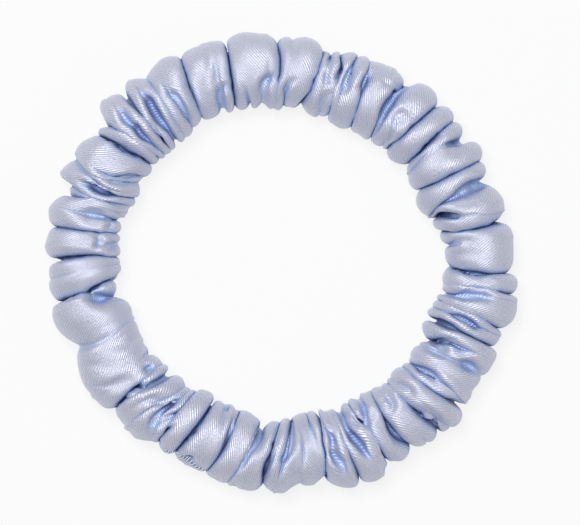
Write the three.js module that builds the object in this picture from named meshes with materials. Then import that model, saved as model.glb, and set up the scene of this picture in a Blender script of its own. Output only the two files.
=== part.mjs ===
// A thin satin scrunchie, lying flat and relaxed: a gathered satin tube on a loop of flat elastic.
// Millimetres, +Z up. The origin is the middle of the ring, on the surface that it lies on.
// The satin is one strip of cloth. Here it is cut across into slices that slide apart along X, so
// that the loop can be pulled long. The left and right ends are long slices, and four pairs of short
// ones lie between them, behind (+Y) and in front (-Y).
import * as THREE from "three";

// The ring and the gathered tube.
const RING_RADIUS = 34.5; // middle of the ring to the middle of the tube
const CREST_RADIUS = 7.5; // the tube, over the top of a puff
const CREASE_RADIUS = 5.7; // the tube, at the bottom of a crease
const CHANNEL_RADIUS = 3.6; // the hollow through the gathers, for the elastic
const REST_HEIGHT = 5.6; // middle of the tube above the surface, which flattens the puffs under it
const TUBE_SIDES = 16;

// Puffs along the ring, counted anticlockwise from +X.
const END_PUFFS = 10; // in the left or right end
const SLICE_PUFFS = 2; // in each slice between the ends
const SLICES = 4; // between the ends, on each side
const PUFFS = 2 * (END_PUFFS + SLICES * SLICE_PUFFS);
const PUFF_ANGLE = (2 * Math.PI) / PUFFS;
const PUFF_STEPS = [0, 0.15, 0.5, 0.85]; // shares of a puff at which its outline has a point
const PUFF_ROUNDNESS = 0.6; // power of a sine: the lower, the squarer the puff

// The flat elastic, a strap whose ends lie one on the other and are sewn.
const ELASTIC_WIDTH = 5; // up and down
const ELASTIC_THICKNESS = 0.9;
const JOIN_ANGLE = degrees(244); // middle of the overlap
const JOIN_LENGTH = 9.5;
const RAMP_LENGTH = 10; // over which the outer end rises onto the inner one
const ELASTIC_STEPS = 84;

// Sewing thread, and where the seams are.
const THREAD_RADIUS = 0.16;
const THREAD_SIDES = 6;
const SEAM_STITCH = 3.3; // length of a stitch of the long seam
const SEAM_SWAY = 0.12; // how far that thread leaves its line between stitches
const SEAM_HEIGHT = 0.9; // of the long seam above the tube's middle, on its outer side
const CLOSING_START = degrees(238); // the gap that the tube is turned through, sewn up last
const CLOSING_END = degrees(249);
const CLOSING_STITCHES = 7;
const CLOSING_REACH = 0.9; // half the width of those stitches
const CROSS_ANGLE = degrees(260); // the seam that joins the two ends of the tube, in a crease
const CROSS_STEPS = 30;
const ZIGZAG_POINTS = 9; // of the thread that joins the elastic
const ZIGZAG_MARGIN = 0.6; // from that thread to the elastic's edges

// Clearances.
const SLICE_GAP = 0.3; // between the faces of two slices
const ELASTIC_GAP = 0.3; // elastic to the channel's wall
const LAYER_GAP = 0.15; // between the elastic's two layers
const THREAD_GAP = 0.12; // thread to what it is sewn on
const SEAM_GAP = 0.35; // the long seam's thread to the channel's wall

const SATIN = new THREE.MeshStandardMaterial({ color: 0xaebbdb, roughness: 0.42, metalness: 0 });
const ELASTIC = new THREE.MeshStandardMaterial({ color: 0xe9e9ec, roughness: 0.85, metalness: 0 });
const THREAD = new THREE.MeshStandardMaterial({ color: 0xb9c3dc, roughness: 0.7, metalness: 0 });

function degrees(angle) {
  return THREE.MathUtils.degToRad(angle);
}

// A point by its angle round the ring, and how far it is outwards and upwards from the tube's middle.
function ringPoint(angle, out, up) {
  const radius = RING_RADIUS + out;
  return new THREE.Vector3(radius * Math.cos(angle), radius * Math.sin(angle), REST_HEIGHT + up);
}

// The satin tube's outer radius at an angle round the ring: high over a puff, low in a crease.
function tubeRadius(angle) {
  const share = THREE.MathUtils.euclideanModulo(angle / PUFF_ANGLE, 1);
  const rise = Math.pow(Math.abs(Math.sin(Math.PI * share)), PUFF_ROUNDNESS);
  return CREASE_RADIUS + (CREST_RADIUS - CREASE_RADIUS) * rise;
}

// A slice of the satin tube: a hollow tube turned straight on a lathe, its height being the angle
// round the ring, and then bent round the ring and flattened where it lies on the surface.
function satinSlice(name, firstPuff, puffs) {
  const halfGap = SLICE_GAP / 2 / RING_RADIUS;
  const start = firstPuff * PUFF_ANGLE;
  const end = start + puffs * PUFF_ANGLE;
  const outline = [new THREE.Vector2(CREASE_RADIUS, start + halfGap)];
  for (let puff = 0; puff < puffs; puff++) {
    for (const step of PUFF_STEPS) {
      const angle = start + (puff + step) * PUFF_ANGLE;
      if (puff + step > 0) outline.push(new THREE.Vector2(tubeRadius(angle), angle));
    }
  }
  outline.push(new THREE.Vector2(CREASE_RADIUS, end - halfGap));
  outline.push(new THREE.Vector2(CHANNEL_RADIUS, end - halfGap));
  for (let puff = puffs - 1; puff > 0; puff--)
    outline.push(new THREE.Vector2(CHANNEL_RADIUS, start + puff * PUFF_ANGLE));
  outline.push(new THREE.Vector2(CHANNEL_RADIUS, start + halfGap), outline[0].clone());

  const tube = new THREE.LatheGeometry(outline, TUBE_SIDES);
  const points = tube.getAttribute("position");
  for (let i = 0; i < points.count; i++) {
    const bent = ringPoint(points.getY(i), points.getX(i), points.getZ(i));
    points.setXYZ(i, bent.x, bent.y, Math.max(0, bent.z));
  }
  tube.computeVertexNormals();
  return named(new THREE.Mesh(tube, SATIN), name);
}

// How far the elastic's middle line is outwards from the tube's middle. Its flat face lies against
// the inner side of the channel, and the end that overlaps lies one layer further out.
function elasticOut(layer) {
  const chord = Math.sqrt(CHANNEL_RADIUS ** 2 - (ELASTIC_WIDTH / 2) ** 2);
  return ELASTIC_GAP - chord + (layer + 0.5) * ELASTIC_THICKNESS + layer * LAYER_GAP;
}

function elasticBand() {
  const halfJoin = JOIN_LENGTH / 2 / RING_RADIUS;
  const ramp = RAMP_LENGTH / RING_RADIUS;
  const start = JOIN_ANGLE - halfJoin;
  const end = JOIN_ANGLE + halfJoin + 2 * Math.PI;
  const points = [];
  for (let i = 0; i <= ELASTIC_STEPS; i++) {
    const angle = THREE.MathUtils.lerp(start, end, i / ELASTIC_STEPS);
    const top = end - 2 * halfJoin - ramp / 4; // the ramp ends just before the inner end begins
    const rise = THREE.MathUtils.smoothstep(angle, top - ramp, top);
    points.push(ringPoint(angle, THREE.MathUtils.lerp(elasticOut(0), elasticOut(1), rise), 0));
  }
  const section = rectangle(ELASTIC_WIDTH, ELASTIC_THICKNESS);
  return named(sweep(points, section, ELASTIC_STEPS, ELASTIC), "elastic_band");
}

// A zigzag across both layers of the elastic, on the outer one's outer face.
function elasticJoinStitches() {
  const out = elasticOut(1) + ELASTIC_THICKNESS / 2 + THREAD_GAP + THREAD_RADIUS;
  const reach = ELASTIC_WIDTH / 2 - ZIGZAG_MARGIN;
  const halfLength = JOIN_LENGTH / 2 / RING_RADIUS - ZIGZAG_MARGIN / RING_RADIUS;
  const points = [];
  for (let i = 0; i < ZIGZAG_POINTS; i++) {
    const angle = JOIN_ANGLE + halfLength * ((2 * i) / (ZIGZAG_POINTS - 1) - 1);
    points.push(ringPoint(angle, out, i % 2 ? reach : -reach));
  }
  return thread("elastic_join_stitches", points, 4 * ZIGZAG_POINTS);
}

// The seam along the strip: a wavy thread inside the channel, on its outer side, from one end of
// the closing gap right round to the other.
function longSeamThread() {
  const line = CHANNEL_RADIUS - SEAM_GAP - THREAD_RADIUS;
  const out = Math.sqrt(line ** 2 - SEAM_HEIGHT ** 2);
  const length = (CLOSING_START + 2 * Math.PI - CLOSING_END) * (RING_RADIUS + out);
  const stitches = Math.round(length / SEAM_STITCH);
  const points = [];
  for (let i = 0; i <= 2 * stitches; i++) {
    const angle = THREE.MathUtils.lerp(CLOSING_END, CLOSING_START + 2 * Math.PI, i / (2 * stitches));
    points.push(ringPoint(angle, out + (i % 2 ? -SEAM_SWAY : SEAM_SWAY) / 2, SEAM_HEIGHT));
  }
  return thread("long_seam_thread", points, 2 * stitches);
}

// The seam across the tube, along the bottom of a crease. Its thread goes over the tube from the
// surface outside the ring to the surface inside it.
function crossSeamThread() {
  const crease = tubeRadius(CROSS_ANGLE + THREAD_RADIUS / RING_RADIUS);
  const reach = crease + THREAD_GAP + THREAD_RADIUS;
  const lowest = Math.asin((REST_HEIGHT - 2 * THREAD_RADIUS) / reach);
  const points = [];
  for (let i = 0; i <= CROSS_STEPS; i++) {
    const turn = THREE.MathUtils.lerp(-lowest, Math.PI + lowest, i / CROSS_STEPS);
    points.push(ringPoint(CROSS_ANGLE, reach * Math.cos(turn), reach * Math.sin(turn)));
  }
  return thread("cross_seam_thread", points, CROSS_STEPS);
}

// The stitches that close the gap, over and over across the long seam on the outside of the puffs.
function closingStitches() {
  const points = [];
  const last = 2 * CLOSING_STITCHES;
  for (let i = 0; i <= last; i++) {
    const angle = THREE.MathUtils.lerp(CLOSING_START, CLOSING_END, i / last);
    const out = CREST_RADIUS + THREAD_GAP + THREAD_RADIUS;
    points.push(ringPoint(angle, out, i % 2 ? CLOSING_REACH : -CLOSING_REACH));
  }
  return thread("closing_stitches", points, 3 * last);
}

function rectangle(width, height) {
  const shape = new THREE.Shape();
  shape.moveTo(-width / 2, -height / 2);
  shape.lineTo(width / 2, -height / 2);
  shape.lineTo(width / 2, height / 2);
  shape.lineTo(-width / 2, height / 2);
  shape.closePath();
  return shape;
}

function polygon(radius, sides) {
  const corners = [];
  for (let i = 0; i < sides; i++) {
    const turn = (2 * Math.PI * i) / sides;
    corners.push(new THREE.Vector2(radius * Math.cos(turn), radius * Math.sin(turn)));
  }
  return new THREE.Shape(corners);
}

// A section carried along a smooth curve through the points.
function sweep(points, section, steps, material) {
  const path = new THREE.CatmullRomCurve3(points);
  const solid = new THREE.ExtrudeGeometry(section, { steps, extrudePath: path, bevelEnabled: false });
  return new THREE.Mesh(solid, material);
}

function thread(name, points, steps) {
  return named(sweep(points, polygon(THREAD_RADIUS, THREAD_SIDES), steps, THREAD), name);
}

function named(mesh, name) {
  mesh.name = name;
  return mesh;
}

const scrunchie = new THREE.Group();
scrunchie.name = "scrunchie";
scrunchie.add(satinSlice("satin_cover_right", -END_PUFFS / 2, END_PUFFS));
scrunchie.add(satinSlice("satin_cover_left", PUFFS / 2 - END_PUFFS / 2, END_PUFFS));
for (let slice = 1; slice <= SLICES; slice++) {
  const fromLeft = END_PUFFS / 2 + slice * SLICE_PUFFS; // puffs between -X and the slice's far face
  scrunchie.add(satinSlice("satin_cover_back_" + slice, PUFFS / 2 - fromLeft, SLICE_PUFFS));
  scrunchie.add(satinSlice("satin_cover_front_" + slice, PUFFS / 2 + fromLeft - SLICE_PUFFS, SLICE_PUFFS));
}
scrunchie.add(elasticBand(), elasticJoinStitches());
scrunchie.add(longSeamThread(), crossSeamThread(), closingStitches());

export default scrunchie;
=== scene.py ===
import math

import bpy
import numpy as np
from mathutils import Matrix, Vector


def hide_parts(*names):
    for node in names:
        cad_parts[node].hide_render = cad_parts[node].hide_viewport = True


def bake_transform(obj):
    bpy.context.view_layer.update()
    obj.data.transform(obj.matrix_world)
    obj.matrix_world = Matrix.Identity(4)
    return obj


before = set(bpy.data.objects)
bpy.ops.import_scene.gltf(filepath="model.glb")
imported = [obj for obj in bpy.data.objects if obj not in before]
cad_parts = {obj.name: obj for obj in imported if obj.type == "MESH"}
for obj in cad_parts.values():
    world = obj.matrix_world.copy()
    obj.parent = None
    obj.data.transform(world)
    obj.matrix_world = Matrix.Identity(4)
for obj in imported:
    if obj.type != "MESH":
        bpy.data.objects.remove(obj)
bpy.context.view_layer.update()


# The satin cover. One bias of woven satin, sewn along its length into a tube, turned right side out
# and pushed together along the elastic, so that it gathers to less than half its length. The two
# edges meet in a seam on the outer side of the ring, with their allowances turned in.
RING = 0.0343  # middle of the ring to the middle of the tube
ROWS = 88  # round the tube
SEAM_ROWS = 4  # in each seam allowance
ALLOWANCE = 0.0036
FLOOR_GAP = 0.00015

# Folds, in the order that they lie round the ring. The first three numbers say where a fold runs, in
# degrees round the ring, over the tube's outer side, its top and its inner side. The next three say
# how deep it is there, in millimetres, and the last how far its bottom lies to one side.
FOLDS = [
    (-2.3, -2.7, -0.5, 2.4, 2.2, 2.2, 0.5),
    (5.6, 7.0, 6.7, 0.0, 0.5, 1.1, 0.5),
    (11.0, 10.2, 11.9, 3.6, 2.8, 2.2, 0.3),
    (13.4, 14.5, 17.4, 0.0, 0.5, 1.9, 0.5),
    (22.9, 22.3, 18.6, 2.4, 1.3, 0.5, 0.8),
    (27.4, 27.3, 28.1, 2.0, 2.6, 2.2, 0.1),
    (34.2, 35.6, 33.6, 2.0, 0.2, 0.0, 0.3),
    (38.9, 38.9, 37.4, 1.8, 2.6, 2.2, -0.4),
    (45.0, 45.5, 46.7, 2.4, 2.2, 1.9, -0.4),
    (49.6, 51.4, 48.4, 0.0, 0.4, 0.6, 0.2),
    (53.6, 55.7, 53.6, 2.2, 2.2, 0.5, -0.7),
    (58.6, 60.4, 58.6, 0.5, 0.0, 0.0, 0.2),
    (66.6, 65.2, 63.0, 0.6, 1.5, 2.0, 0.4),
    (68.7, 69.9, 68.6, 0.8, 1.7, 0.2, -0.5),
    (74.0, 72.9, 72.3, 0.9, 1.7, 2.0, 0.2),
    (76.3, 75.6, 75.3, 1.7, 1.1, 0.7, 0.2),
    (78.5, 78.6, 83.7, 1.4, 2.0, 1.9, 0.4),
    (86.6, 87.0, 88.8, 0.9, 0.3, 1.0, -0.5),
    (91.2, 90.1, 91.8, 2.4, 3.0, 2.4, 0.3),
    (93.6, 93.8, 96.7, 0.0, 0.5, 1.2, 0.5),
    (101.8, 101.6, 100.2, 0.0, 0.2, 0.9, -0.2),
    (103.6, 104.4, 106.2, 2.5, 2.4, 1.6, -0.3),
    (108.0, 108.8, 110.5, 0.0, 0.7, 1.3, 0.8),
    (116.0, 117.9, 118.6, 1.6, 2.7, 2.3, 0.6),
    (123.8, 122.2, 122.6, 0.0, 1.4, 1.0, -0.6),
    (126.2, 126.7, 128.1, 2.6, 2.2, 1.8, 0.3),
    (128.9, 130.0, 131.0, 0.3, 2.3, 1.5, 0.3),
    (133.0, 133.1, 133.6, 2.2, 1.7, 1.3, 0.1),
    (135.9, 136.9, 136.3, 0.4, 1.9, 0.8, 0.5),
    (141.7, 138.6, 137.8, 2.6, 1.2, 1.8, -0.5),
    (144.1, 143.3, 142.4, 2.0, 2.8, 2.6, 0.1),
    (150.6, 153.7, 146.7, 0.0, 1.2, 1.5, 0.6),
    (151.4, 155.2, 149.9, 0.0, 0.8, 1.5, 0.5),
    (152.2, 156.4, 153.4, 2.2, 0.9, 0.5, -0.3),
    (156.4, 157.9, 155.6, 0.0, 2.3, 1.2, 0.4),
    (159.6, 159.8, 158.2, 2.5, 1.2, 1.1, 0.3),
    (161.9, 161.3, 160.9, 2.0, 0.2, 0.0, 0.2),
    (166.2, 165.0, 164.5, 0.0, 1.2, 1.4, -0.6),
    (170.8, 170.7, 169.8, 2.4, 2.0, 2.0, 0.3),
    (175.0, 174.2, 173.6, 0.0, 0.3, 1.1, 0.3),
    (179.1, 177.4, 177.1, 2.3, 2.4, 2.0, -0.3),
    (183.5, 181.4, 179.6, 0.6, 0.2, 0.8, 0.3),
    (189.6, 187.0, 184.7, 2.8, 2.0, 2.2, -0.7),
    (190.9, 190.6, 192.4, 0.0, 0.6, 1.9, 0.9),
    (202.2, 203.6, 199.6, 0.8, 0.3, 0.0, 0.0),
    (214.0, 217.0, 215.3, 0.0, 0.4, 0.6, 0.3),
    (221.3, 220.7, 221.0, 2.6, 2.8, 1.3, 0.1),
    (222.2, 222.6, 224.9, 0.0, 0.7, 2.1, 0.3),
    (226.4, 227.6, 232.4, 0.0, 0.6, 0.9, 0.5),
    (234.4, 231.4, 236.0, 0.8, 1.3, 1.3, 0.4),
    (236.0, 235.4, 237.1, 1.8, 1.0, 1.5, 0.3),
    (240.3, 242.3, 244.2, 1.6, 2.5, 2.3, 0.2),
    (250.0, 253.2, 254.2, 0.7, 2.0, 0.8, 0.5),
    (256.0, 260.2, 264.5, 0.2, 0.7, 1.9, 0.2),
    (265.9, 266.7, 270.8, 2.0, 1.7, 1.7, 0.3),
    (268.0, 270.7, 274.2, 0.0, 1.3, 1.6, 0.3),
    (274.0, 276.0, 277.4, 0.9, 0.0, 0.0, 0.0),
    (280.4, 281.8, 279.6, 0.0, 0.4, 0.5, 0.3),
    (281.9, 284.5, 285.0, 2.2, 1.8, 2.0, 0.2),
    (286.9, 285.8, 285.6, 0.5, 1.5, 0.4, -0.4),
    (288.2, 286.9, 286.4, 0.0, 0.3, 1.3, -0.2),
    (290.1, 289.8, 287.7, 2.5, 1.9, 1.9, -0.2),
    (295.3, 293.3, 291.1, 0.0, 1.7, 1.6, -0.4),
    (296.6, 295.4, 293.4, 0.0, 1.2, 0.3, -0.3),
    (298.0, 297.7, 296.3, 2.6, 1.5, 1.7, 0.2),
    (299.6, 298.8, 300.2, 0.0, 0.8, 1.4, 0.2),
    (301.5, 301.2, 302.2, 0.0, 0.5, 0.8, 0.2),
    (305.6, 303.1, 303.8, 2.0, 2.8, 2.0, -0.5),
    (309.0, 309.2, 308.7, 0.0, 0.2, 1.1, 0.3),
    (313.4, 312.3, 311.6, 1.5, 2.4, 2.3, -0.4),
    (316.2, 315.8, 313.9, 0.8, 0.5, 1.0, 0.4),
    (321.2, 320.1, 319.8, 2.2, 1.8, 1.7, -0.2),
    (322.7, 324.0, 322.6, 0.0, 1.2, 1.5, 0.6),
    (331.0, 330.8, 328.8, 0.8, 0.5, 0.5, 0.3),
    (335.4, 335.3, 333.8, 0.2, 1.1, 1.9, 0.4),
    (338.1, 339.3, 339.5, 1.9, 1.7, 2.6, -0.2),
    (341.2, 342.6, 343.0, 0.0, 2.0, 1.2, 0.4),
    (343.6, 345.0, 347.0, 2.6, 2.5, 2.4, 0.2),
    (350.4, 350.3, 349.3, 0.1, 1.7, 1.8, -0.4),
    (352.4, 352.5, 352.0, 2.4, 1.9, 1.9, 0.2),
]
# How far the puffs reach outwards and inwards from the tube's middle: degrees, millimetres.
OUTER_REACH = [
    (0, 6.9), (8, 7.1), (13, 6.2), (15.5, 6.9), (20.5, 5.3), (25.3, 5.5), (29.5, 6.9), (35, 5.2),
    (39, 6.1), (44, 6.0), (47.5, 6.9), (51, 6.2), (55, 4.2), (58.5, 5.4), (63, 5.0), (71, 5.0),
    (75, 3.9), (78, 3.7), (82.5, 5.9), (88.7, 5.6), (94, 6.3), (100.8, 7.4), (106, 6.8), (115, 6.8),
    (120, 8.0), (124, 7.0), (130, 7.7), (138, 8.7), (142.7, 5.4), (146, 5.6), (150, 7.4), (156, 8.1),
    (160.6, 5.4), (166.5, 7.9), (175, 7.5), (182, 6.6), (187, 6.8), (194, 7.2), (202, 4.6), (211, 6.4),
    (219, 6.0), (225, 5.0), (230.5, 5.6), (234.5, 4.3), (238.5, 4.5), (247, 4.5), (255, 5.4),
    (262, 5.9), (270, 6.2), (274.5, 4.7), (278, 4.9), (281, 4.3), (286.5, 7.6), (294, 8.1),
    (299, 5.8), (303, 6.6), (309, 6.4), (312, 7.3), (318.5, 8.3), (324, 6.8), (327.5, 6.3),
    (335.5, 7.4), (341.5, 6.7), (347.5, 8.8), (355.5, 8.2),
]
INNER_REACH = [
    (3, 4.3), (9.5, 5.0), (16, 6.2), (22, 7.8), (31, 7.4), (36, 6.0), (40, 6.2), (44, 7.7), (50, 6.8),
    (58, 7.3), (66, 8.4), (70, 7.6), (78, 7.1), (87, 6.0), (90.5, 7.3), (94, 6.4), (98.5, 6.0),
    (104, 5.7), (108, 5.5), (114, 5.3), (120, 5.0), (126.5, 6.4), (133, 6.3), (141, 5.8), (149, 5.6),
    (157, 6.2), (161, 5.0), (167, 4.7), (173.5, 5.1), (179, 5.6), (185, 4.8), (190.5, 4.4),
    (196, 6.3), (204, 6.2), (213, 5.8), (222.5, 7.2), (228, 7.3), (234, 6.8), (242, 8.5),
    (249.5, 7.4), (257, 7.3), (262, 6.2), (267, 5.7), (273, 6.9), (283, 7.7), (289, 6.9), (293, 6.8),
    (298.5, 7.1), (306.5, 6.6), (311, 5.9), (316, 6.4), (321, 6.0), (327, 5.8), (333, 4.5),
    (338, 7.2), (342, 6.6), (346, 5.6), (350, 5.2), (355, 5.2),
]
# Hollows in single puffs: degrees, place across the tube (1 outer side, -1 inner side), half length
# and half width in millimetres, depth in millimetres, and the turn of the length in degrees.
HOLLOWS = [
    (49.8, -0.1, 1.5, 1.2, 1.0, 20),
    (3.0, -0.2, 3.2, 2.2, 0.5, 40),
    (20.0, 0.2, 1.8, 3.0, 0.6, 0),
    (32.5, 0.45, 1.4, 1.2, 0.7, 0),
    (59.0, 0.4, 1.8, 0.6, 0.3, -30),
    (94.8, -0.4, 2.4, 1.0, 0.5, -40),
    (112.0, -0.1, 2.5, 3.0, 0.5, 0),
    (135.6, 0.6, 0.9, 1.6, 0.6, 0),
    (147.5, 0.1, 3.0, 2.0, 0.4, 30),
    (167.6, -0.05, 1.2, 2.0, 0.7, 10),
    (167.4, -0.6, 0.7, 0.5, 0.7, 20),
    (173.3, -0.35, 1.0, 0.6, 0.7, 20),
    (173.8, -0.65, 0.5, 0.5, 0.5, 0),
    (190.3, -0.3, 1.4, 1.6, 0.9, 0),
    (205.0, -0.2, 1.3, 4.0, 0.35, 25),
    (210.5, 0.1, 1.8, 4.0, 0.3, 25),
    (216.8, 0.2, 1.2, 3.0, 0.45, 15),
    (218.4, -0.68, 0.75, 0.6, 1.3, 0),
    (228.8, -0.4, 2.4, 1.2, 0.5, -35),
    (233.4, -0.1, 1.0, 2.4, 0.9, 15),
    (267.4, -0.45, 0.5, 0.5, 0.5, 0),
    (277.0, -0.6, 2.6, 1.4, 0.4, -20),
    (286.9, 0.6, 0.7, 1.0, 0.6, 0),
    (295.2, -0.5, 0.9, 1.0, 0.7, 0),
    (314.8, 0.8, 0.8, 1.6, 0.9, -10),
    (322.4, -0.1, 0.8, 2.4, 0.5, 0),
    (332.2, 0.6, 1.2, 1.4, 0.7, 0),
    (332.0, -0.45, 1.5, 1.4, 0.8, 0),
    (334.6, 0.15, 1.0, 1.4, 0.5, 0),
    (355.0, 0.0, 1.0, 2.6, 0.35, 0),
]


def smoothstep(low, high, x):
    """From 0 at low to 1 at high, level at both ends."""
    t = np.clip((x - low) / (high - low), 0, 1)
    return t * t * (3 - 2 * t)


def round_curve(points, angle):
    """A closed curve through (degrees, value) points, drawn through them with smoothsteps."""
    at = np.array([p[0] for p in points], float)
    value = np.array([p[1] for p in points], float)
    at = np.concatenate([at[-1:] - 360, at, at[:1] + 360])
    value = np.concatenate([value[-1:], value, value[:1]])
    angle = np.mod(angle - at[0], 360) + at[0]
    k = np.clip(np.searchsorted(at, angle, side="right") - 1, 0, len(at) - 2)
    t = smoothstep(0, 1, (angle - at[k]) / (at[k + 1] - at[k]))
    return value[k] * (1 - t) + value[k + 1] * t


def fold_angle(fold, across):
    """Where a fold lies at a place across the tube: a parabola through its three angles, in degrees.
    Folds are counted on past the last one and back before the first."""
    turns, k = np.divmod(fold, len(FOLDS))
    outer, top, inner = np.array(FOLDS)[:, :3].T[:, k]
    tilt, bow = (outer - inner) / 2, (outer + inner) / 2 - top
    return top + tilt * across + bow * across**2 + 360 * turns


def fold_depth(fold, across):
    """How deep a fold is at a place across the tube, in metres: its three depths, eased into another."""
    outer, top, inner = np.array(FOLDS)[:, 3:6].T[:, np.mod(fold, len(FOLDS))] / 1000
    outer, top = 1.25 * outer, 1.1 * top
    to_outer, to_inner = smoothstep(0.1, 0.9, across), smoothstep(0.1, 0.9, -across)
    return top + (outer - top) * to_outer + (inner - top) * to_inner


# The sewn edges lie on the tube's outer side: degrees round the ring, degrees up from outwards.
SEAM_TURN = [
    (20, -28), (120, -20), (205, -28), (232, 12), (240, 40), (248, 42), (256, 20), (263, 4), (280, -24),
]
COLUMNS = 980
LEAST_COLUMNS = 6
MIDDLE_HEIGHT = 0.0054
CROSS_SEAM = 53  # which fold it is
CORE = 0.0031  # the elastic's room in the tube's middle
WIDEST_ROUND = 0.0026  # of a fold's side
FILL = 0.0003  # what settling adds to the reach


def cover_columns():
    """For each column of the strip: the fold before it, and its share of the way to the next one.
    Columns are closer together beside a fold, where the cloth turns down."""
    middle = np.array([f[1] for f in FOLDS] + [FOLDS[0][1] + 360])
    gap = np.diff(middle)
    count = np.maximum(LEAST_COLUMNS, np.round(gap / 360 * COLUMNS)).astype(int)
    fold, share = [], []
    for i, n in enumerate(count):
        step = np.arange(n) / n
        fold.append(np.full(n, i))
        share.append(0.7 * (1 - np.cos(np.pi * step)) / 2 + 0.3 * step)
    fold, share = np.concatenate(fold), np.concatenate(share)
    first = int(np.argmax(fold == CROSS_SEAM))
    return np.roll(fold, -first), np.roll(share, -first)


def cover_surface():
    """The gathered tube as a grid of rows round the tube by columns along it. A column lies a share of
    the way between two folds. The tube's radius there is its reach, less the depth of the folds, whose
    sides are quarter circles that meet at the fold's bottom, less the hollows."""
    fold, share = cover_columns()
    middle = np.array([f[1] for f in FOLDS] + [FOLDS[0][1] + 360])
    nominal = middle[fold] + share * (middle[fold + 1] - middle[fold])
    row = np.arange(ROWS + 1)[:, None] / ROWS
    turn = np.radians(round_curve(SEAM_TURN, nominal)) + 2 * np.pi * row
    across = np.cos(turn)

    at = fold_angle(fold, across)
    after = fold_angle(fold + 1, across)
    angle = at + share * np.maximum(after - at, 0.05)
    outer = round_curve(OUTER_REACH, angle) / 1000
    inner = round_curve(INNER_REACH, angle) / 1000
    top = 0.25 * (outer + inner) + 0.0030
    to_outer, to_inner = np.maximum(across, 0) ** 1.5, np.maximum(-across, 0) ** 1.5
    reach = top + (outer - top) * to_outer + (inner - top) * to_inner - FILL
    n = 2.3  # a circle's is 2, and a squarer tube's is more
    squarer = (np.abs(np.cos(turn)) ** n + np.abs(np.sin(turn)) ** n) ** (-1 / n)
    local = (RING + reach * across) * np.pi / 180  # metres to a degree, along the ring

    near = range(-5, 7)
    place = {k: fold_angle(fold + k, across) for k in near}
    deep = {k: fold_depth(fold + k, across) for k in near}
    active = {k: np.clip(deep[k] / 0.0012, 0, 1) for k in near}

    def room(k, side):
        """Half the way from a fold to the next one that counts, on one side of it."""
        free, total = 1.0, 0.0
        for step in (1, 2, 3):
            one, two = k + side * (step - 1), k + side * step
            if two not in place:
                break
            gap = np.abs(place[two] - place[one]) * local
            total = total + free * gap * (1 - 0.5 * active[two])
            free = free * (1 - active[two])
        return total

    power = 3
    total = np.zeros_like(angle)
    lean = np.zeros_like(angle)
    for k in range(-3, 5):
        side = 1 if k <= 0 else -1
        width = np.clip(room(k, side), 0.0003, np.minimum(0.0005 + 1.1 * deep[k], WIDEST_ROUND))
        x = np.clip(np.abs(angle - place[k]) * local / width, 0, 1)
        shape = 1 - np.sqrt(1 - (1 - x) ** 2)
        total += (deep[k] * shape) ** power
        leaning = np.array(FOLDS)[np.mod(fold + k, len(FOLDS)), 6] / 1000
        lean -= leaning * shape * np.clip(deep[k] / 0.002, 0, 1)
    radius = reach * squarer - total ** (1 / power)

    for at_angle, at_across, length, width, depth, tilt in HOLLOWS:
        along = (np.mod(angle - at_angle + 180, 360) - 180) * local * 1000
        over = (across - at_across) * reach * 1000
        c, s_ = np.cos(np.radians(tilt)), np.sin(np.radians(tilt))
        u, v = (along * c + over * s_) / length, (over * c - along * s_) / width
        upper = smoothstep(-0.3, 0.1, np.sin(turn))
        radius -= depth / 1000 * np.exp(-(u**2 + v**2) ** 1.2) * upper

    rng = np.random.default_rng(7)
    wave = np.zeros_like(angle)
    for _ in range(26):
        k, m = rng.integers(18, 90), rng.integers(1, 5)
        wave += np.sin(np.radians(k * angle) + m * turn + rng.uniform(0, 6.28)) / np.sqrt(k)
    radius += 0.00012 * wave
    radius = np.maximum(radius, CORE)

    bearing = np.radians(angle + lean / local)
    flat = RING + radius * np.cos(turn)
    up = np.maximum(MIDDLE_HEIGHT + 0.97 * radius * np.sin(turn), FLOOR_GAP)
    return np.stack([flat * np.cos(bearing), flat * np.sin(bearing), up], -1), bearing, radius, turn


def even_columns(tube, count):
    """The tube's rows at columns that are evenly spaced along the cloth, and their spacing."""
    ring = np.concatenate([tube, tube[:, :1]], 1)
    along = np.concatenate([[0], np.cumsum(np.linalg.norm(np.diff(ring, axis=1), axis=2).mean(0))])
    want = np.arange(count) / count * along[-1]
    k = np.clip(np.searchsorted(along, want, side="right") - 1, 0, len(along) - 2)
    t = ((want - along[k]) / (along[k + 1] - along[k]))[:, None]
    return ring[:, k] * (1 - t) + ring[:, k + 1] * t, along[-1] / count


def finer(x):
    """Twice the rows and columns of a closed grid, with each new point on a cubic between the old."""
    for axis in (0, 1):
        between = (9 * (x + np.roll(x, -1, axis)) - np.roll(x, 1, axis) - np.roll(x, -2, axis)) / 16
        shape = [d * (2 if i == axis else 1) for i, d in enumerate(x.shape)]
        x = np.stack([x, between], axis + 1).reshape(shape)
    return x


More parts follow.
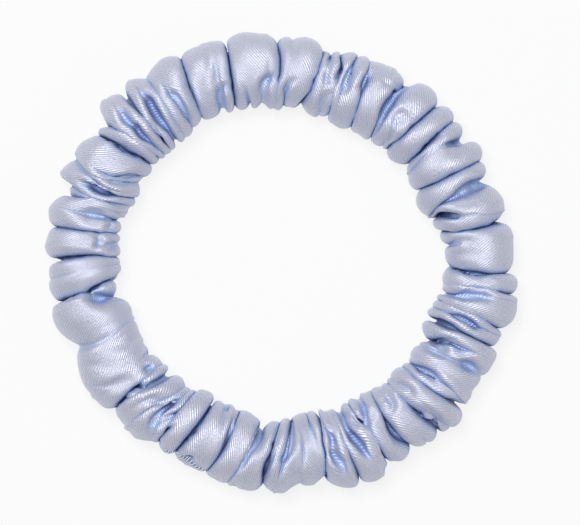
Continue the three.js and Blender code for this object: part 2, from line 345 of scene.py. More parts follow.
def close_pairs(x, reach, cloth, spans):
    """Pairs of points closer than a reach that aren't neighbours in the cloth, from a grid of cells."""
    flat = x.reshape(-1, 3)
    cell = np.floor((flat - flat.min(0)) / reach).astype(np.int64) + 1
    size = cell.max(0) + 2
    key = (cell[:, 0] * size[1] + cell[:, 1]) * size[2] + cell[:, 2]
    order = np.argsort(key, kind="stable")
    ranked = key[order]
    found = []
    for dx, dy, dz in [(0, 0, 0), (1, -1, -1), (1, -1, 0), (1, -1, 1), (1, 0, -1), (1, 0, 0), (1, 0, 1),
                       (1, 1, -1), (1, 1, 0), (1, 1, 1), (0, 1, -1), (0, 1, 0), (0, 1, 1), (0, 0, 1)]:
        other = key + (dx * size[1] + dy) * size[2] + dz
        low, high = np.searchsorted(ranked, other, "left"), np.searchsorted(ranked, other, "right")
        for step in range(int((high - low).max(initial=0))):
            one = np.flatnonzero(low + step < high)
            two = order[low[one] + step]
            if (dx, dy, dz) == (0, 0, 0):
                keep = one < two
                one, two = one[keep], two[keep]
            near = ((flat[one] - flat[two]) ** 2).sum(1) < reach**2
            one, two = one[near], two[near]
            gap = np.abs(cloth[one] - cloth[two])
            gap = np.minimum(gap, spans - gap)
            keep = (gap**2).sum(1) > (2.2 * reach) ** 2
            found.append(np.stack([one[keep], two[keep]]))
    return np.concatenate(found, 1)


def lengths(x, down, right):
    """How far each point is from the one so many rows and columns on."""
    return np.linalg.norm(np.roll(x, (-down, -right), (0, 1)) - x, axis=2, keepdims=True)


def settle(x, along, around, rests, steps, thick, hold, puff):
    """The cloth of a closed grid, settled. Each step moves the points towards the lengths that the
    cloth has along, around and across its squares, unbends it a little, blows it out a little, holds
    it loosely to where it was gathered, and keeps it off the elastic, the surface and itself."""
    rows, columns = x.shape[:2]
    home = x.copy()
    cloth = np.stack(np.meshgrid(np.arange(rows) * around, np.arange(columns) * along, indexing="ij"), -1)
    cloth, spans = cloth.reshape(-1, 2), np.array([rows * around, columns * along])
    ties = [((0, 1), rests[0], 1.0), ((1, 0), rests[1], 1.0),
            ((1, 1), np.hypot(*rests), 0.2), ((1, -1), np.hypot(*rests), 0.2),
            ((0, 2), 2 * rests[0], BEND[0]), ((2, 0), 2 * rests[1], BEND[0]),
            ((0, 4), 4 * rests[0], BEND[1]), ((4, 0), 4 * rests[1], BEND[1])]
    speed = np.zeros_like(x)
    for step in range(steps):
        before = x
        x = x + 0.6 * speed
        for (down, right), rest, share in ties:
            d = np.roll(x, (-down, -right), (0, 1)) - x
            length = np.linalg.norm(d, axis=2, keepdims=True)
            move = 0.5 * share * 0.5 * (1 - rest / np.maximum(length, 1e-9)) * d
            x = x + move - np.roll(move, (down, right), (0, 1))
        normal = np.cross(np.roll(x, -1, 1) - np.roll(x, 1, 1), np.roll(x, -1, 0) - np.roll(x, 1, 0))
        normal /= np.maximum(np.linalg.norm(normal, axis=2, keepdims=True), 1e-12)
        x = x + puff * normal + hold * (home - x)
        if step % 4 == 0:
            pairs = close_pairs(x, thick, cloth, spans)
        if pairs.shape[1]:
            flat = x.reshape(-1, 3).copy()
            d = flat[pairs[0]] - flat[pairs[1]]
            length = np.linalg.norm(d, axis=1, keepdims=True)
            push = 0.5 * np.maximum(thick - length, 0) / np.maximum(length, 1e-9) * d
            count = np.bincount(pairs.ravel(), minlength=len(flat))[:, None]
            one, two = [np.stack([np.bincount(side, push[:, i], len(flat)) for i in range(3)], 1)
                        for side in pairs]
            x = (flat + (one - two) / np.maximum(count, 1) * 1.4).reshape(x.shape)
        far = np.linalg.norm(x[..., :2], axis=2, keepdims=True)
        out = np.concatenate([x[..., :2] / far * (far - RING), x[..., 2:] - MIDDLE_HEIGHT], 2)
        away = np.linalg.norm(out, axis=2, keepdims=True)
        x = x + out / away * np.maximum(CORE - away, 0)
        x[..., 2] = np.maximum(x[..., 2], FLOOR_GAP)
        speed = np.clip(x - before, -0.0002, 0.0002)
    return x


# How the gathered cloth is relaxed, coarse and then fine. Where a value has two parts, EVEN and LONGER
# are for along and across the cloth, BEND for two and four squares, STEPS and THICK for the stages.
EVEN = (0.3, 0.35)  # how far each square's sides go towards the cloth's mean
LONGER = (1.05, 1.025)
BEND = (0.13, 0.02)
STEPS = (120, 50)
PUFF = 0.000008  # metres a step, outwards
HOLD = 0.012
THICK = (0.00045, 0.00034)
COARSE_COLUMNS = 500
SKIN = 0.00016  # from the sheet's middle to its outer face
HOLLOW_SHARE = 0.5
CALM = (190, 198, 211, 218)  # the stretch round the ring with hardly any gathers


def outward(x):
    """The cover's unit normals, away from the tube's middle."""
    normal = np.cross(np.roll(x, -1, 1) - np.roll(x, 1, 1), np.roll(x, -1, 0) - np.roll(x, 1, 0))
    normal /= np.linalg.norm(normal, axis=2, keepdims=True)
    flat = x[..., :2] / np.linalg.norm(x[..., :2], axis=2, keepdims=True)
    away = np.concatenate([x[..., :2] - flat * RING, x[..., 2:] - MIDDLE_HEIGHT], 2)
    return normal * np.sign((normal * away).sum())


def pressed(x, share):
    """The settled cover with its hollows pressed in again, which the filling had pushed out."""
    far = np.linalg.norm(x[..., :2], axis=2)
    angle = np.degrees(np.arctan2(x[..., 1], x[..., 0]))
    turn = np.arctan2(x[..., 2] - MIDDLE_HEIGHT, far - RING)
    reach = np.hypot(x[..., 2] - MIDDLE_HEIGHT, far - RING)
    deep = np.zeros_like(far)
    for at_angle, at_across, length, width, depth, tilt in HOLLOWS:
        along = (np.mod(angle - at_angle + 180, 360) - 180) * np.pi / 180 * far * 1000
        over = (np.cos(turn) - at_across) * reach * 1000
        c, s_ = np.cos(np.radians(tilt)), np.sin(np.radians(tilt))
        u, v = (along * c + over * s_) / length, (over * c - along * s_) / width
        deep += depth / 1000 * np.exp(-(u**2 + v**2) ** 1.2) * smoothstep(-0.3, 0.1, np.sin(turn))
    return x - outward(x) * share * deep[..., None]


# Pinches, small curved creases in single puffs: three points, each as degrees round the ring and
# millimetres out from the tube's middle, then half width and depth in millimetres.
PINCHES = [
    (14.7, -1.7, 16, -3.3, 17.8, -5.6, 0.45, 1.3), (22.8, 3.3, 21.8, 1.1, 20, -0.3, 1.3, 0.9),
    (34.3, 3.4, 35, 2.6, 35.4, 1.7, 0.4, 1), (7, -0.6, 7.4, -2.4, 6, -4.0, 0.7, 0.6),
    (42, -5.4, 44, -5.6, 46, -4.7, 0.8, 0.5), (51.6, -0.1, 51.6, -1.7, 50, -2.4, 0.45, 0.8),
    (52, -2.1, 50, -3.8, 48, -6.0, 0.45, 0.6), (55, 1.1, 54.8, -1.0, 53.5, -3.1, 1.2, 0.7),
    (57, 3.4, 59, 2.6, 61, 3.1, 0.35, 0.5), (63, 3.6, 65, 1.5, 65, -0.6, 0.6, 0.8),
    (69.6, 2.2, 70, -0.3, 68.2, -1.7, 0.8, 1.1), (72, 2.2, 73, 0.4, 73, -1.2, 0.5, 1),
    (76, 0.4, 76, -0.6, 74.4, -1.0, 0.6, 0.9), (73.5, -2.4, 75, -4.2, 76, -5.6, 0.45, 0.7),
    (85.5, -1.7, 87.5, -2.8, 89, -4.0, 0.4, 0.7), (92, -1.5, 95, -1.9, 96.6, -4.0, 0.45, 0.9),
    (106.3, -2.2, 108, -1.5, 109.6, -3.1, 0.45, 0.9), (112, -1.3, 111.5, -2.8, 110.5, -3.8, 1.1, 0.6),
    (123.5, 1.3, 122, 0.2, 122.3, -3.7, 0.5, 1.1), (128.5, 3.3, 129.5, 1.1, 130.7, -2.4, 0.65, 1.2),
    (132.6, -0.6, 133, -2.8, 133.5, -4.4, 0.5, 0.9), (136, 4.7, 137, 3.1, 137.5, 1.8, 0.7, 0.8),
    (136, 1.0, 137, -0.3, 137.4, -2.1, 0.5, 1.1), (154.6, -0.1, 152, -2.4, 146, -5.2, 0.45, 1),
    (155, -1.3, 152.5, -3.5, 149, -5.1, 0.35, 0.7), (157, 1.7, 157.9, -0.3, 157, -2.2, 0.6, 1),
    (166, -3.1, 167, -3.7, 168.4, -3.1, 0.35, 0.9), (165.8, 1.5, 165, -0.6, 164.6, -2.4, 1.1, 0.7),
    (171.3, -1.3, 173, -2.2, 174.6, -1.5, 0.45, 0.7), (172.4, -4.2, 173.8, -4.5, 175.2, -3.8, 0.4, 0.7),
    (188.2, -0.6, 190.2, -1.0, 192, -2.9, 0.9, 0.9), (214.5, 1.8, 216.5, 0.4, 217, -1.7, 1.3, 0.5),
    (217.9, -4.4, 218.4, -4.6, 218.9, -4.4, 0.5, 1.2), (221, -0.5, 223, -2.8, 225, -6.0, 0.5, 0.9),
    (226, -1.2, 230, -2.4, 233, -5.1, 0.55, 0.6), (232, 2.2, 230.4, 0.1, 233.5, -4.2, 0.6, 0.8),
    (249.4, -6.6, 249.8, -6.7, 250.3, -6.6, 0.3, 0.9), (243.8, 3.9, 245, 3.6, 246, 3.8, 0.45, 1.6),
    (262, -0.6, 263.5, -2.4, 264.6, -4.5, 0.6, 0.9), (266, 3.3, 266.3, 1.3, 268.5, -1.0, 0.5, 0.8),
    (270, 0.4, 272.6, -1.2, 274, -4.5, 0.5, 0.9), (279.5, -4.0, 281.5, -2.4, 283.4, -2.1, 0.7, 0.5),
    (288, 3.1, 286, 1.5, 285, -0.5, 0.65, 1.3), (286.6, -1.3, 286.6, -2.2, 286.4, -3.3, 0.4, 1),
    (295.2, 1.8, 293.5, -0.3, 292, -2.1, 0.7, 1.1), (296.4, -2.2, 295, -3.8, 293, -4.5, 0.6, 0.8),
    (298, -1.5, 299, -3.5, 301.4, -5.8, 0.5, 0.9), (300.4, -2.2, 301, -2.8, 302, -3.7, 0.35, 0.6),
    (303.2, 4.3, 303, 2.0, 302.8, -0.6, 0.8, 0.8), (306.5, -1.9, 308.8, -2.8, 308, -4.7, 0.5, 0.9),
    (314.6, 5.6, 314.6, 3.6, 313, 1.1, 0.9, 1), (315.6, -1.7, 315.6, -2.9, 314.4, -4.7, 0.5, 1),
    (323.8, -0.1, 323.8, -2.1, 322, -4.2, 0.6, 1), (331.6, 4.5, 331.5, 3.1, 331, 2.0, 0.8, 0.7),
    (336, -0.3, 335, -2.4, 333, -3.8, 0.5, 1), (341.5, 2.2, 343, 0.2, 343.5, -2.6, 0.45, 1.1),
    (340, -1.3, 340, -3.3, 340.6, -5.1, 0.7, 0.9), (350.6, 3.4, 350.2, 0.4, 349, -2.2, 0.5, 1),
    (352, 2.2, 352.4, 0.2, 351, -2.1, 0.45, 0.8), (356.4, 2.2, 357, 0.1, 357, -2.4, 0.8, 0.7),
]


def pinched(x):
    """The cover with its pinches drawn in: each is a groove along a curve through three points, with a
    bell for its section, a low lip on both sides, and ends that run out."""
    angle = np.degrees(np.arctan2(x[..., 1], x[..., 0])) % 360
    up = smoothstep(0.1, 0.5, (x[..., 2] - MIDDLE_HEIGHT) / 0.005)
    deep = np.zeros_like(angle)
    t = np.linspace(0, 1, 25)
    for *ends, width, depth in PINCHES:
        (a, p), (b, q), (c, r) = np.reshape(ends, (3, 2))
        along = a * (1 - t) * (1 - 2 * t) + b * 4 * t * (1 - t) + c * t * (2 * t - 1)
        out = RING * 1000 + p * (1 - t) * (1 - 2 * t) + q * 4 * t * (1 - t) + r * t * (2 * t - 1)
        curve = np.stack([out * np.cos(np.radians(along)), out * np.sin(np.radians(along))], -1)
        near = np.abs((angle - b + 180) % 360 - 180) < 12
        gaps = np.linalg.norm(x[near][:, None, :2] * 1000 - curve, axis=2)
        nearest = gaps.argmin(1)
        d = gaps.min(1) / (1.25 * width)
        fade = 1 - (2 * t[nearest] - 1) ** 4 * 0.7
        deep[near] += 0.62 * depth / 1000 * fade * (np.exp(-d**2) - 0.25 * np.exp(-((d - 2) ** 2)))
    return x - outward(x) * (deep * up)[..., None]


def settled(tube):
    """The gathered cover relaxed twice, the second time with twice the rows and columns, then pressed,
    pinched and grown by its skin. Its lengths at rest lie between its own and the cloth's mean."""
    even, along = even_columns(tube[:-1], COARSE_COLUMNS)
    x = even[::2]
    own = [lengths(x, 0, 1), lengths(x, 1, 0)]
    mean = [own[0].mean(0, keepdims=True), own[1].mean()]
    bearing = np.degrees(np.arctan2(*x.mean(0)[:, 1::-1].T)) % 360
    calm = smoothstep(*CALM[:2], bearing) * (1 - smoothstep(*CALM[2:], bearing))
    calm = calm[None, :, None]
    rests = [own[i] * (1 + (LONGER[i] - 1) * (1 - calm)) + EVEN[i] * (1 - 0.7 * calm) * (mean[i] - own[i])
             for i in (0, 1)]
    around = rests[1].mean()
    x = settle(x, along, around, rests, STEPS[0], THICK[0], HOLD, PUFF)
    x = finer(x)
    rests = [finer(r) / 2 for r in rests]
    x = settle(x, along / 2, around / 2, rests, STEPS[1], THICK[1], HOLD, PUFF / 4)
    x = pinched(pressed(x, HOLLOW_SHARE))
    x = x + SKIN * outward(x)
    x[..., 2] = np.maximum(x[..., 2], FLOOR_GAP)
    return x


def cover_strip():
    """The tube's rows, with the two edges' allowances turned in towards the tube's middle."""
    tube, bearing, radius, turn = cover_surface()
    tube = settled(tube)
    tube = np.concatenate([tube, tube[:1]])
    far = np.linalg.norm(tube[..., :2], axis=2)
    bearing = np.arctan2(tube[..., 1], tube[..., 0])
    radius = np.hypot(far - RING, tube[..., 2] - MIDDLE_HEIGHT)
    turn = np.arctan2(tube[..., 2] - MIDDLE_HEIGHT, far - RING)

    def allowance(edge, side):
        """An edge's rows: the edge goes in towards the tube's middle, a hair to its own side."""
        rows = []
        for i in range(1, SEAM_ROWS + 1):
            into = ALLOWANCE * i / SEAM_ROWS
            r = np.maximum(radius[edge] - into, 0.0012)
            t = turn[edge] + side * 0.00022 / r * (0.3 + i / SEAM_ROWS)
            flat = RING + r * np.cos(t)
            rows.append(np.stack([flat * np.cos(bearing[edge]), flat * np.sin(bearing[edge]),
                                  np.maximum(MIDDLE_HEIGHT + 0.97 * r * np.sin(t), FLOOR_GAP)], -1))
        return rows

    before = allowance(0, 1)[::-1]
    beyond = allowance(-1, -1)
    return np.concatenate([np.stack(before), tube, np.stack(beyond)])


def strip_mesh(name, grid):
    """A mesh from rows by columns of points, closed along the columns and open at its two edges. Its
    UV map is the flat cloth in metres: the mean length along the rows, and the mean across them."""
    rows, columns = grid.shape[:2]
    ring = np.concatenate([grid, grid[:, :1]], 1)
    along = np.concatenate([[0], np.cumsum(np.linalg.norm(np.diff(ring, axis=1), axis=2).mean(0))])
    over = np.concatenate([[0], np.cumsum(np.linalg.norm(np.diff(grid, axis=0), axis=2).mean(1))])
    j, i = np.meshgrid(np.arange(rows - 1), np.arange(columns), indexing="ij")
    nxt = (i + 1) % columns
    near, far = j * columns, (j + 1) * columns
    quads = np.stack([near + i, near + nxt, far + nxt, far + i], -1)
    mesh = bpy.data.meshes.new(name)
    mesh.from_pydata(grid.reshape(-1, 3), [], quads.reshape(-1, 4).tolist())
    uv = np.stack([np.stack([along[i], over[j]], -1), np.stack([along[i + 1], over[j]], -1),
                   np.stack([along[i + 1], over[j + 1]], -1), np.stack([along[i], over[j + 1]], -1)], 2)
    mesh.uv_layers.new(name="cloth").data.foreach_set("uv", uv.ravel())
    mesh.shade_smooth()
    obj = bpy.data.objects.new(name, mesh)
    bpy.context.collection.objects.link(obj)
    return obj


RIB_PITCH = 0.00037


def satin():
    """Pale blue satin: fine diagonal ribs, a broad white gloss, and painted shade: a deeper, darker blue
    painted where it folds in.
    """
    m = bpy.data.materials.new("satin")
    m.use_nodes = True
    n, links = m.node_tree.nodes, m.node_tree.links
    shader = n["Principled BSDF"]
    shader.inputs["Metallic"].default_value = 0.4
    shader.inputs["Roughness"].default_value = 0.5
    shader.inputs["Specular IOR Level"].default_value = 0.9
    shader.inputs["Sheen Weight"].default_value = 0.2
    shader.inputs["Sheen Roughness"].default_value = 0.4
    shader.inputs["Sheen Tint"].default_value = (0.95, 0.95, 1, 1)
    uv = n.new("ShaderNodeUVMap")
    uv.uv_map = "cloth"
    dot = n.new("ShaderNodeVectorMath")
    dot.operation = "DOT_PRODUCT"
    dot.inputs[1].default_value = (2 * math.pi / RIB_PITCH * 0.80, 2 * math.pi / RIB_PITCH * 0.60, 0)
    links.new(uv.outputs["UV"], dot.inputs[0])
    rib = n.new("ShaderNodeMath")
    rib.operation = "SINE"
    links.new(dot.outputs["Value"], rib.inputs[0])
    grain = n.new("ShaderNodeTexNoise")
    grain.inputs["Scale"].default_value = 2600
    grain.inputs["Detail"].default_value = 3
    links.new(uv.outputs["UV"], grain.inputs["Vector"])
    mix = n.new("ShaderNodeMath")
    mix.operation = "MULTIPLY_ADD"
    mix.inputs[1].default_value = 3.6
    links.new(grain.outputs["Fac"], mix.inputs[0])
    links.new(rib.outputs[0], mix.inputs[2])
    bump = n.new("ShaderNodeBump")
    bump.inputs["Strength"].default_value = 0.36
    bump.inputs["Distance"].default_value = 0.0001
    links.new(mix.outputs[0], bump.inputs["Height"])
    links.new(bump.outputs["Normal"], shader.inputs["Normal"])
    # Painted shade: the base colour runs from pale lavender in the open, through mid blue, to deep navy in
    # the creases, by ambient occlusion.
    painted_crease_shade = n.new("ShaderNodeAmbientOcclusion")
    painted_crease_shade.inputs["Distance"].default_value = 0.004
    painted_crease_shade.samples = 8
    painted_shade_ramp = n.new("ShaderNodeValToRGB")
    painted_shade_ramp.color_ramp.elements[0].position = 0.2
    painted_shade_ramp.color_ramp.elements[0].color = (0.015, 0.05, 0.24, 1)
    painted_shade_ramp.color_ramp.elements[1].position = 0.95
    painted_shade_ramp.color_ramp.elements[1].color = (0.52, 0.535, 0.65, 1)
    middle = painted_shade_ramp.color_ramp.elements.new(0.6)
    middle.color = (0.33, 0.44, 0.71, 1)
    links.new(painted_crease_shade.outputs["AO"], painted_shade_ramp.inputs["Fac"])
    thread = n.new("ShaderNodeMapRange")
    thread.inputs["From Min"].default_value = 0
    thread.inputs["From Max"].default_value = 3.0
    thread.inputs["To Min"].default_value = 0.78
    thread.inputs["To Max"].default_value = 1.17
    links.new(mix.outputs[0], thread.inputs["Value"])
    tint = n.new("ShaderNodeMix")
    tint.data_type = "RGBA"
    tint.blend_type = "MULTIPLY"
    tint.inputs["Factor"].default_value = 1
    links.new(painted_shade_ramp.outputs["Color"], tint.inputs["A"])
    links.new(thread.outputs["Result"], tint.inputs["B"])
    links.new(tint.outputs["Result"], shader.inputs["Base Color"])
    return m


grid = cover_strip()
cover = strip_mesh("satin_cover", grid)
cover.data.materials.append(satin())
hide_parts("satin_cover_left", "satin_cover_right",
            *[f"satin_cover_{side}_{i}" for side in ("back", "front") for i in range(1, 5)])
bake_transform(cover)

# The closing stitches. The tube is turned right side out through a gap in its long seam, and the gap
# is then sewn up by hand, over and over, with one polyester thread that puckers the edge a little.
cloth = grid[SEAM_ROWS:SEAM_ROWS + ROWS]
CLOSING = (238.0, 249.5)
CLOSING_STITCHES = 14
STITCH_ROWS = 1.1  # how far each reaches to either side of the seam
THREAD = 0.00011


def on_cloth(row, column, lift):
    """Points on the cover at fractional rows and columns, lifted off it along its outward normal."""
    rows, columns = cloth.shape[:2]

    def at(row, column):
        j, i = np.floor(row).astype(int), np.floor(column).astype(int)
        v, u = (row - j)[:, None], (column - i)[:, None]
        near = cloth[j % rows, i % columns] * (1 - u) + cloth[j % rows, (i + 1) % columns] * u
        far = cloth[(j + 1) % rows, i % columns] * (1 - u) + cloth[(j + 1) % rows, (i + 1) % columns] * u
        return near * (1 - v) + far * v

    row, column = np.asarray(row, float), np.asarray(column, float)
    normal = np.cross(at(row, column + 1) - at(row, column - 1), at(row + 1, column) - at(row - 1, column))
    normal /= np.linalg.norm(normal, axis=1, keepdims=True)
    here = at(row, column)
    flat = here[:, :2] / np.linalg.norm(here[:, :2], axis=1, keepdims=True)
    middle = np.column_stack([flat * RING, np.full(len(here), MIDDLE_HEIGHT)])
    normal *= np.sign(((here - middle) * normal).sum(1, keepdims=True))
    return here + normal * np.reshape(lift, (-1, 1))


def seam_columns(angles):
    """The columns where the long seam is at these angles round the ring."""
    bearing = np.unwrap(np.arctan2(cloth[0, :, 1], cloth[0, :, 0]))
    bearing = np.degrees(np.maximum.accumulate(bearing))
    angles = bearing[0] + (np.asarray(angles) - bearing[0]) % 360
    return np.interp(angles, bearing, np.arange(len(bearing)))


def thread_mesh(name, points, radius=THREAD):
    """A round thread along these points."""
    curve = bpy.data.curves.new(name, "CURVE")
    curve.dimensions = "3D"
    curve.bevel_depth = radius
    curve.bevel_resolution = 2
    curve.use_fill_caps = True
    line = curve.splines.new("POLY")
    line.points.add(len(points) - 1)
    line.points.foreach_set("co", np.column_stack([points, np.ones(len(points))]).ravel())
    shape = bpy.data.objects.new(name + "_line", curve)
    mesh = bpy.data.meshes.new_from_object(shape)
    bpy.data.objects.remove(shape)
    bpy.data.curves.remove(curve)
    mesh.name = name
    mesh.shade_smooth()
    obj = bpy.data.objects.new(name, mesh)
    bpy.context.collection.objects.link(obj)
    return obj


def spun(name, colour):
    """Spun polyester: matt, with a slight uneven fuzz."""
    m = bpy.data.materials.new(name)
    m.use_nodes = True
    n, links = m.node_tree.nodes, m.node_tree.links
    n["Principled BSDF"].inputs["Base Color"].default_value = (*colour, 1)
    n["Principled BSDF"].inputs["Roughness"].default_value = 0.6
    n["Principled BSDF"].inputs["Sheen Weight"].default_value = 0.3
    where = n.new("ShaderNodeTexCoord")
    fuzz = n.new("ShaderNodeTexNoise")
    fuzz.inputs["Scale"].default_value = 9000
    links.new(where.outputs["Object"], fuzz.inputs["Vector"])
    bump = n.new("ShaderNodeBump")
    bump.inputs["Strength"].default_value = 0.5
    bump.inputs["Distance"].default_value = 0.00005
    links.new(fuzz.outputs["Fac"], bump.inputs["Height"])
    links.new(bump.outputs["Normal"], n["Principled BSDF"].inputs["Normal"])
    return m


def closing_path():
    """Each stitch goes over the seam from below it to above it, and comes back under it a step on."""
    t = np.linspace(0, CLOSING_STITCHES, CLOSING_STITCHES * 20 + 1)
    angles = CLOSING[0] + (CLOSING[1] - CLOSING[0]) * t / CLOSING_STITCHES
    row = -STITCH_ROWS * np.cos(2 * np.pi * t) * (0.85 + 0.25 * np.sin(5.3 * t))
    return on_cloth(row, seam_columns(angles), 0.00025 * np.sin(2 * np.pi * t) + 0.00002)


thread_material = spun("thread", (0.56, 0.58, 0.66))
closing = thread_mesh("closing_stitches_thread", closing_path())
closing.data.materials.append(thread_material)
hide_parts("closing_stitches")
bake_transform(closing)

# The long seam's thread. A lockstitch along the two edges of the strip, with only the small bumps of
# its stitches showing on the outer side of the ring. It ends at each end of the closing gap.
STITCHES = 118


def long_seam_path():
    """Row 0 from one end of the gap round to the other, below the cloth and up to it once a stitch."""
    start, end = seam_columns(np.array(CLOSING[::-1]))
    end += cloth.shape[1] if end < start else 0
    t = np.linspace(0, STITCHES, STITCHES * 8 + 1)
    return on_cloth(0.25 * np.sin(np.pi * t), start + (end - start) * t / STITCHES,
                    0.00012 * np.cos(2 * np.pi * t) - 0.00013)


seam = thread_mesh("long_seam_thread_line", long_seam_path())
seam.data.materials.append(thread_material)
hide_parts("long_seam_thread")
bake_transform(seam)

# The cross seam's thread. It joins the strip's two ends, in a straight line over the tube.
CROSS = [(-38, 255.6), (0, 256.6), (45, 258.2), (90, 259.8), (135, 261.6), (180, 263.2), (215, 264)]


def cross_seam_path():
    """The cover's points nearest to the line, with the thread half sunk and up once a stitch."""
    turns, targets = np.array(CROSS, float).T
    t = np.linspace(turns[0], turns[-1], 161)
    x, y, z = np.moveaxis(cloth, 2, 0)
    turn = np.degrees(np.arctan2(z - MIDDLE_HEIGHT, np.hypot(x, y) - RING))
    bearing = np.degrees(np.arctan2(y, x)) % 360
    off = ((turn[None] - t[:, None, None] + 180) % 360 - 180) ** 2 * 0.03
    off = off + ((bearing[None] - np.interp(t, turns, targets)[:, None, None] + 180) % 360 - 180) ** 2
    row, column = np.unravel_index(off.reshape(len(t), -1).argmin(1), turn.shape)
    row = np.unwrap(row, period=cloth.shape[0])
    points = on_cloth(row, column, 0.0)
    smooth = np.ones(9) / 9
    padded = np.pad(points, ((4, 4), (0, 0)), mode="edge")
    points = np.stack([np.convolve(padded[:, i], smooth, "valid") for i in range(3)], 1)
    flat = points[:, :2] / np.linalg.norm(points[:, :2], axis=1, keepdims=True)
    out = points - np.column_stack([flat * RING, np.full(len(points), MIDDLE_HEIGHT)])
    out /= np.linalg.norm(out, axis=1, keepdims=True)
    return points + out * (0.00010 * np.cos(np.arange(len(t)) * 2 * np.pi / 10) - 0.00008)[:, None]


cross = thread_mesh("cross_seam_thread_line", cross_seam_path())
cross.data.materials.append(thread_material)
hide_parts("cross_seam_thread")
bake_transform(cross)

# The elastic. A flat braided band, with rubber cords that run along it between crossed polyester
# yarns. Its ends lap over each other and are sewn together.
ELASTIC = (0.0050, 0.00070)
ELASTIC_OUT = (-0.0013, -0.00045)  # the middle of each layer from the tube's middle, outwards
JOIN = 244.0  # degrees round the ring, the middle of the lap
LAP = 0.0095
CORDS = 8
YARN_PITCH = 0.0007
CLIMB = 16  # degrees over which the last end climbs


def elastic_surface():
    """A rounded strap's section carried round the ring: its faces rise over each cord, and dip
    where the yarns cross, and its last end climbs onto its first."""
    half = math.degrees(LAP / 2 / RING)
    u = np.linspace(JOIN - half, JOIN + half + 360, 900)
    v = np.linspace(0, 2 * np.pi, 72, endpoint=False)
    wide = np.sign(np.cos(v)) * np.abs(np.cos(v)) ** 0.35 * ELASTIC[0] / 2
    cords = 0.5 + 0.5 * np.cos(2 * np.pi * CORDS * (wide / ELASTIC[0] + 0.5) + np.pi)
    thin = np.sign(np.sin(v)) * np.abs(np.sin(v)) ** 0.35 * ELASTIC[1] / 2
    along = np.radians(u) * RING
    cord = np.floor(CORDS * (wide / ELASTIC[0] + 0.5))
    yarns = 0.5 + 0.5 * np.cos(2 * np.pi * along[:, None] / YARN_PITCH + np.pi * cord)
    skin = 1 - 0.22 * (1 - cords)[None] - 0.14 * yarns
    top = JOIN + 360 - half - 1
    rise = np.clip((u - top + CLIMB) / CLIMB, 0, 1)
    middle = ELASTIC_OUT[0] + (ELASTIC_OUT[1] - ELASTIC_OUT[0]) * (rise * rise * (3 - 2 * rise))
    far = RING + middle[:, None] + thin[None] * skin
    a = np.radians(u)[:, None]
    return np.stack([far * np.cos(a), far * np.sin(a), MIDDLE_HEIGHT + 0 * far + wide[None]], -1)


def elastic_mesh():
    """The braid's skin as a mesh, with a face across each of its two ends."""
    points = elastic_surface()
    rows, columns = points.shape[:2]
    j, i = np.meshgrid(np.arange(rows - 1), np.arange(columns), indexing="ij")
    quads = np.stack([j * columns + i, j * columns + (i + 1) % columns,
                      (j + 1) * columns + (i + 1) % columns, (j + 1) * columns + i], -1)
    mesh = bpy.data.meshes.new("elastic_band_braid")
    ends = [list(range(columns))[::-1], list(range((rows - 1) * columns, rows * columns))]
    mesh.from_pydata(points.reshape(-1, 3), [], quads.reshape(-1, 4).tolist() + ends)
    mesh.shade_smooth()
    obj = bpy.data.objects.new("elastic_band_braid", mesh)
    bpy.context.collection.objects.link(obj)
    return obj


elastic = elastic_mesh()
elastic.data.materials.append(spun("elastic", (0.78, 0.78, 0.80)))
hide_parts("elastic_band")
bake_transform(elastic)

# The elastic's join. A machine zigzag through both layers, in the same thread as the seams.
ZIGZAGS = 9


def join_path():
    """A zigzag up and down the outer layer's outer face."""
    t = np.linspace(0, ZIGZAGS, ZIGZAGS * 12 + 1)
    a = np.radians(JOIN) + (t / ZIGZAGS - 0.5) * (LAP - 0.0014) / RING
    sway = 2 * np.abs(2 * (t / 2 - np.floor(t / 2 + 0.5))) - 1
    far = RING + ELASTIC_OUT[1] + ELASTIC[1] / 2 + 0.0001
    return np.column_stack([far * np.cos(a), far * np.sin(a), MIDDLE_HEIGHT + sway * 0.0018])


zigzag = thread_mesh("elastic_join_zigzag", join_path(), 0.00014)
zigzag.data.materials.append(thread_material)
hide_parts("elastic_join_stitches")
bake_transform(zigzag)

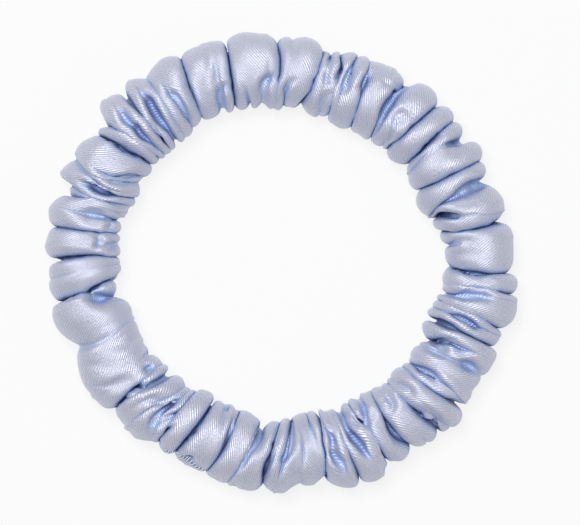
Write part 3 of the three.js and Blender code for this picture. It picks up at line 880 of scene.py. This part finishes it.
# The surface that it lies on. Plain pale card, which shows nearly white and keeps a faint shadow.
floor_mesh = bpy.data.meshes.new("floor")
floor_mesh.from_pydata([(-2, -2, 0), (2, -2, 0), (2, 2, 0), (-2, 2, 0)], [], [(0, 1, 2, 3)])
floor = bpy.data.objects.new("floor", floor_mesh)
bpy.context.collection.objects.link(floor)
m = bpy.data.materials.new("floor")
m.use_nodes = True
n, links = m.node_tree.nodes, m.node_tree.links
paper = n["Principled BSDF"]
paper.inputs["Base Color"].default_value = (0.9, 0.9, 0.9, 1)
paper.inputs["Roughness"].default_value = 0.9
paper.inputs["Specular IOR Level"].default_value = 0.1
glow = n.new("ShaderNodeEmission")
glow.inputs["Color"].default_value = (0.955, 0.955, 0.957, 1)
path = n.new("ShaderNodeLightPath")
part_seen = n.new("ShaderNodeMath")
part_seen.operation = "MULTIPLY"
part_seen.inputs[1].default_value = 0.88
links.new(path.outputs["Is Camera Ray"], part_seen.inputs[0])
both = n.new("ShaderNodeMixShader")
links.new(part_seen.outputs[0], both.inputs["Fac"])
links.new(paper.outputs[0], both.inputs[1])
links.new(glow.outputs[0], both.inputs[2])
links.new(both.outputs[0], n["Material Output"].inputs["Surface"])
floor.data.materials.append(m)

# The light. A bright overhead lamp, a weaker one from low on the right, and an even white room.
world = bpy.data.worlds.new("world")
bpy.context.scene.world = world
world.use_nodes = True
world.node_tree.nodes["Background"].inputs["Color"].default_value = (1, 1, 1, 1)
world.node_tree.nodes["Background"].inputs["Strength"].default_value = 0.22


def lamp(name, place, size, power):
    """A square lamp at a place, facing the middle of the ring."""
    data = bpy.data.lights.new(name, "AREA")
    data.size = size
    data.energy = power
    obj = bpy.data.objects.new(name, data)
    bpy.context.collection.objects.link(obj)
    obj.location = place
    obj.rotation_euler = (-Vector(place)).to_track_quat("-Z", "Y").to_euler()


lamp("key", (-0.14, 0.2, 0.9), 0.35, 8.4)
lamp("fill", (0.6, -0.3, 0.6), 0.6, 1.2)

# The camera, straight above and far enough off that the ring looks flat.
cam = bpy.data.cameras.new("camera")
cam.sensor_width = 36
distance = 0.75
cam.lens = 36 * distance / 0.1028
cam.clip_start = 0.01
camera = bpy.data.objects.new("camera", cam)
camera.location = (0.0017, 0.0002, 0.007 + distance)
bpy.context.collection.objects.link(camera)
bpy.context.scene.camera = camera
bpy.context.scene.view_settings.view_transform = "Standard"
